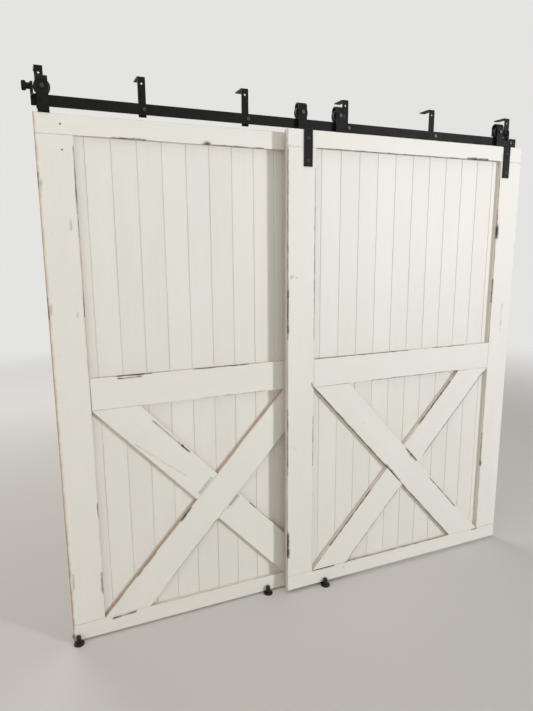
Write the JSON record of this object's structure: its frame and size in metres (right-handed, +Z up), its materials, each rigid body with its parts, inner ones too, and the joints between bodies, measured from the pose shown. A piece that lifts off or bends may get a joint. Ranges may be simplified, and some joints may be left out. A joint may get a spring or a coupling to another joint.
{
  "type": "sliding barn door",
  "caption": "Bypass pair of X-braced plank barn doors hung by wheeled strap hangers from a flat rail on angle brackets under a soffit, with end stops and floor guides.",
  "frame": {"origin": "middle of the fourth bracket's two screw holes from the left, on the soffit plane", "axes": "+X along the rail to the front door's side, +Y from the doors towards the wall, +Z up"},
  "size_m": [2.3578, 0.207, 2.313],
  "materials": {
    "frame_timber": "white satin paint on softwood, worn to grey-brown wood along edges and joints",
    "boards": "white satin paint on tongued boards, dull in the V joints",
    "black_steel": "matte black powder coat on flat steel bar",
    "fasteners": "blackened steel",
    "wheel": "matte black nylon, polished in the running groove",
    "bearing": "ground steel rings with dark seals",
    "rubber": "matte black rubber",
    "guide": "satin black moulded plastic"
  },
  "bodies": {
    "root": {"rail": "black_steel", "bracket_1": "black_steel", "bracket_2": "black_steel", "bracket_3": "black_steel", "bracket_4": "black_steel", "bracket_5": "black_steel", "bracket_6": "black_steel", "rail_spacers": "black_steel", "rail_bolts": "fasteners", "rail_nuts": "fasteners", "left_stop": "black_steel", "right_stop": "black_steel", "left_stop_bumper": "rubber", "right_stop_bumper": "rubber", "stop_screws": "fasteners", "floor_guide_left": "guide", "floor_guide_middle": "guide", "floor_guide_front": "guide"},
    "front_door": {"front_top_rail": "frame_timber", "front_bottom_rail": "frame_timber", "front_left_stile": "frame_timber", "front_right_stile": "frame_timber", "front_mid_rail": "frame_timber", "front_long_brace": "frame_timber", "front_upper_brace": "frame_timber", "front_lower_brace": "frame_timber", "front_boards": "boards", "front_left_hanger": "black_steel", "front_right_hanger": "black_steel", "front_axle_bolts": "fasteners", "front_axle_nuts": "fasteners", "front_axle_sleeves": "black_steel", "front_strap_screws": "fasteners"},
    "rear_door": {"rear_top_rail": "frame_timber", "rear_bottom_rail": "frame_timber", "rear_left_stile": "frame_timber", "rear_right_stile": "frame_timber", "rear_mid_rail": "frame_timber", "rear_long_brace": "frame_timber", "rear_upper_brace": "frame_timber", "rear_lower_brace": "frame_timber", "rear_boards": "boards", "rear_left_hanger": "black_steel", "rear_right_hanger": "black_steel", "rear_axle_bolts": "fasteners", "rear_axle_nuts": "fasteners", "rear_axle_sleeves": "black_steel", "rear_foot_screws": "fasteners"},
    "front_left_wheel": {"front_left_wheel": "wheel", "front_left_bearing": "bearing"},
    "front_right_wheel": {"front_right_wheel": "wheel", "front_right_bearing": "bearing"},
    "rear_left_wheel": {"rear_left_wheel": "wheel", "rear_left_bearing": "bearing"},
    "rear_right_wheel": {"rear_right_wheel": "wheel", "rear_right_bearing": "bearing"}
  },
  "joints": [
    {"name": "front_door_slide", "type": "slide", "parent": "root", "child": "front_door", "axis": [1, 0, 0], "range_m": [-0.87, 0]},
    {"name": "rear_door_slide", "type": "slide", "parent": "root", "child": "rear_door", "axis": [1, 0, 0], "range_m": [0, 0.87]},
    {"name": "front_left_wheel_roll", "type": "hinge", "parent": "front_door", "child": "front_left_wheel", "pos_m": [-0.24, -0.066, -0.0827], "axis": [0, 1, 0], "continuous": true},
    {"name": "front_right_wheel_roll", "type": "hinge", "parent": "front_door", "child": "front_right_wheel", "pos_m": [0.884, -0.066, -0.0827], "axis": [0, 1, 0], "continuous": true},
    {"name": "rear_left_wheel_roll", "type": "hinge", "parent": "rear_door", "child": "rear_left_wheel", "pos_m": [-1.281, -0.066, -0.0827], "axis": [0, 1, 0], "continuous": true},
    {"name": "rear_right_wheel_roll", "type": "hinge", "parent": "rear_door", "child": "rear_right_wheel", "pos_m": [-0.055, -0.066, -0.0827], "axis": [0, 1, 0], "continuous": true}
  ],
  "couplings": [
    {"joint": "front_left_wheel_roll", "follows": "front_door_slide", "rad_per_m": 41.667},
    {"joint": "front_right_wheel_roll", "follows": "front_door_slide", "rad_per_m": 41.667},
    {"joint": "rear_left_wheel_roll", "follows": "rear_door_slide", "rad_per_m": 41.667},
    {"joint": "rear_right_wheel_roll", "follows": "rear_door_slide", "rad_per_m": 41.667}
  ]
}
